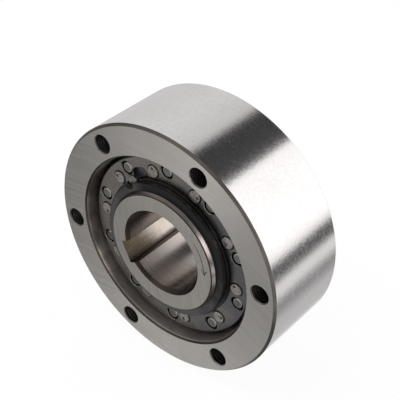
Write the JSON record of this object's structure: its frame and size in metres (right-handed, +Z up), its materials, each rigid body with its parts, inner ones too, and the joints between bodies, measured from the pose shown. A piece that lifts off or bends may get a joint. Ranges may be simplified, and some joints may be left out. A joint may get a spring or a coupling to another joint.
{
  "type": "one-way sprag clutch",
  "caption": "One-way clutch: a keyed inner ring turns freely one way inside a bolted outer ring, and tilting sprags in a cage between them lock it the other way.",
  "frame": {"origin": "centre of the clutch, on its axis and midway between its two faces", "axes": "+Y along the clutch's axis from the front face to the rear face, +Z up as it stands on its rim"},
  "size_m": [0.11, 0.041, 0.11],
  "materials": {
    "outer_ring_steel": "ground and polished hardened steel",
    "inner_ring_steel": "ground hardened steel, polished bore",
    "cage_steel": "tumbled dark steel plate, lightly oiled",
    "pin_steel": "turned steel with staked ends",
    "sprag_steel": "drawn and hardened steel",
    "snap_ring_steel": "phosphated spring steel",
    "spring_wire": "drawn spring wire"
  },
  "bodies": {
    "outer": {"outer_ring": "outer_ring_steel"},
    "inner": {"inner_ring": "inner_ring_steel", "cage_front_ring": "cage_steel", "cage_rear_ring": "cage_steel", "cage_drive_pin": "pin_steel", "spacer_pins": "pin_steel", "retaining_ring_front": "snap_ring_steel", "retaining_ring_rear": "snap_ring_steel", "sprag_spring_01": "spring_wire", "sprag_spring_02": "spring_wire", "sprag_spring_03": "spring_wire", "sprag_spring_04": "spring_wire", "sprag_spring_05": "spring_wire", "sprag_spring_06": "spring_wire", "sprag_spring_07": "spring_wire", "sprag_spring_08": "spring_wire", "sprag_spring_09": "spring_wire", "sprag_spring_10": "spring_wire"},
    "sprag_01": {"sprag_01": "sprag_steel"},
    "sprag_02": {"sprag_02": "sprag_steel"},
    "sprag_03": {"sprag_03": "sprag_steel"},
    "sprag_04": {"sprag_04": "sprag_steel"},
    "sprag_05": {"sprag_05": "sprag_steel"},
    "sprag_06": {"sprag_06": "sprag_steel"},
    "sprag_07": {"sprag_07": "sprag_steel"},
    "sprag_08": {"sprag_08": "sprag_steel"},
    "sprag_09": {"sprag_09": "sprag_steel"},
    "sprag_10": {"sprag_10": "sprag_steel"}
  },
  "joints": [
    {"name": "overrun", "type": "hinge", "parent": "outer", "child": "inner", "pos_m": [0, 0, 0], "axis": [0, 1, 0], "range_deg": [0, 360]},
    {"name": "sprag_01_tilt", "type": "hinge", "parent": "inner", "child": "sprag_01", "pos_m": [-0.00068, 0, 0.03534], "axis": [0, -1, 0], "range_deg": [0, 8], "stiffness_Nm_per_rad": 0.02, "springref_deg": -20.05, "deforming": ["sprag_spring_01"]},
    {"name": "sprag_02_tilt", "type": "hinge", "parent": "inner", "child": "sprag_02", "pos_m": [0.02023, 0, 0.02899], "axis": [0, -1, 0], "range_deg": [0, 8], "stiffness_Nm_per_rad": 0.02, "springref_deg": -20.05, "deforming": ["sprag_spring_02"]},
    {"name": "sprag_03_tilt", "type": "hinge", "parent": "inner", "child": "sprag_03", "pos_m": [0.0334, 0, 0.01157], "axis": [0, -1, 0], "range_deg": [0, 8], "stiffness_Nm_per_rad": 0.02, "springref_deg": -20.05, "deforming": ["sprag_spring_03"]},
    {"name": "sprag_04_tilt", "type": "hinge", "parent": "inner", "child": "sprag_04", "pos_m": [0.03382, 0, -0.01028], "axis": [0, -1, 0], "range_deg": [0, 8], "stiffness_Nm_per_rad": 0.02, "springref_deg": -20.05, "deforming": ["sprag_spring_04"]},
    {"name": "sprag_05_tilt", "type": "hinge", "parent": "inner", "child": "sprag_05", "pos_m": [0.02132, 0, -0.02819], "axis": [0, -1, 0], "range_deg": [0, 8], "stiffness_Nm_per_rad": 0.02, "springref_deg": -20.05, "deforming": ["sprag_spring_05"]},
    {"name": "sprag_06_tilt", "type": "hinge", "parent": "inner", "child": "sprag_06", "pos_m": [0.00068, 0, -0.03534], "axis": [0, -1, 0], "range_deg": [0, 8], "stiffness_Nm_per_rad": 0.02, "springref_deg": -20.05, "deforming": ["sprag_spring_06"]},
    {"name": "sprag_07_tilt", "type": "hinge", "parent": "inner", "child": "sprag_07", "pos_m": [-0.02023, 0, -0.02899], "axis": [0, -1, 0], "range_deg": [0, 8], "stiffness_Nm_per_rad": 0.02, "springref_deg": -20.05, "deforming": ["sprag_spring_07"]},
    {"name": "sprag_08_tilt", "type": "hinge", "parent": "inner", "child": "sprag_08", "pos_m": [-0.0334, 0, -0.01157], "axis": [0, -1, 0], "range_deg": [0, 8], "stiffness_Nm_per_rad": 0.02, "springref_deg": -20.05, "deforming": ["sprag_spring_08"]},
    {"name": "sprag_09_tilt", "type": "hinge", "parent": "inner", "child": "sprag_09", "pos_m": [-0.03382, 0, 0.01028], "axis": [0, -1, 0], "range_deg": [0, 8], "stiffness_Nm_per_rad": 0.02, "springref_deg": -20.05, "deforming": ["sprag_spring_09"]},
    {"name": "sprag_10_tilt", "type": "hinge", "parent": "inner", "child": "sprag_10", "pos_m": [-0.02132, 0, 0.02819], "axis": [0, -1, 0], "range_deg": [0, 8], "stiffness_Nm_per_rad": 0.02, "springref_deg": -20.05, "deforming": ["sprag_spring_10"]}
  ],
  "couplings": [
    {"joint": "sprag_02_tilt", "follows": "sprag_01_tilt", "ratio": 1},
    {"joint": "sprag_03_tilt", "follows": "sprag_01_tilt", "ratio": 1},
    {"joint": "sprag_04_tilt", "follows": "sprag_01_tilt", "ratio": 1},
    {"joint": "sprag_05_tilt", "follows": "sprag_01_tilt", "ratio": 1},
    {"joint": "sprag_06_tilt", "follows": "sprag_01_tilt", "ratio": 1},
    {"joint": "sprag_07_tilt", "follows": "sprag_01_tilt", "ratio": 1},
    {"joint": "sprag_08_tilt", "follows": "sprag_01_tilt", "ratio": 1},
    {"joint": "sprag_09_tilt", "follows": "sprag_01_tilt", "ratio": 1},
    {"joint": "sprag_10_tilt", "follows": "sprag_01_tilt", "ratio": 1}
  ]
}
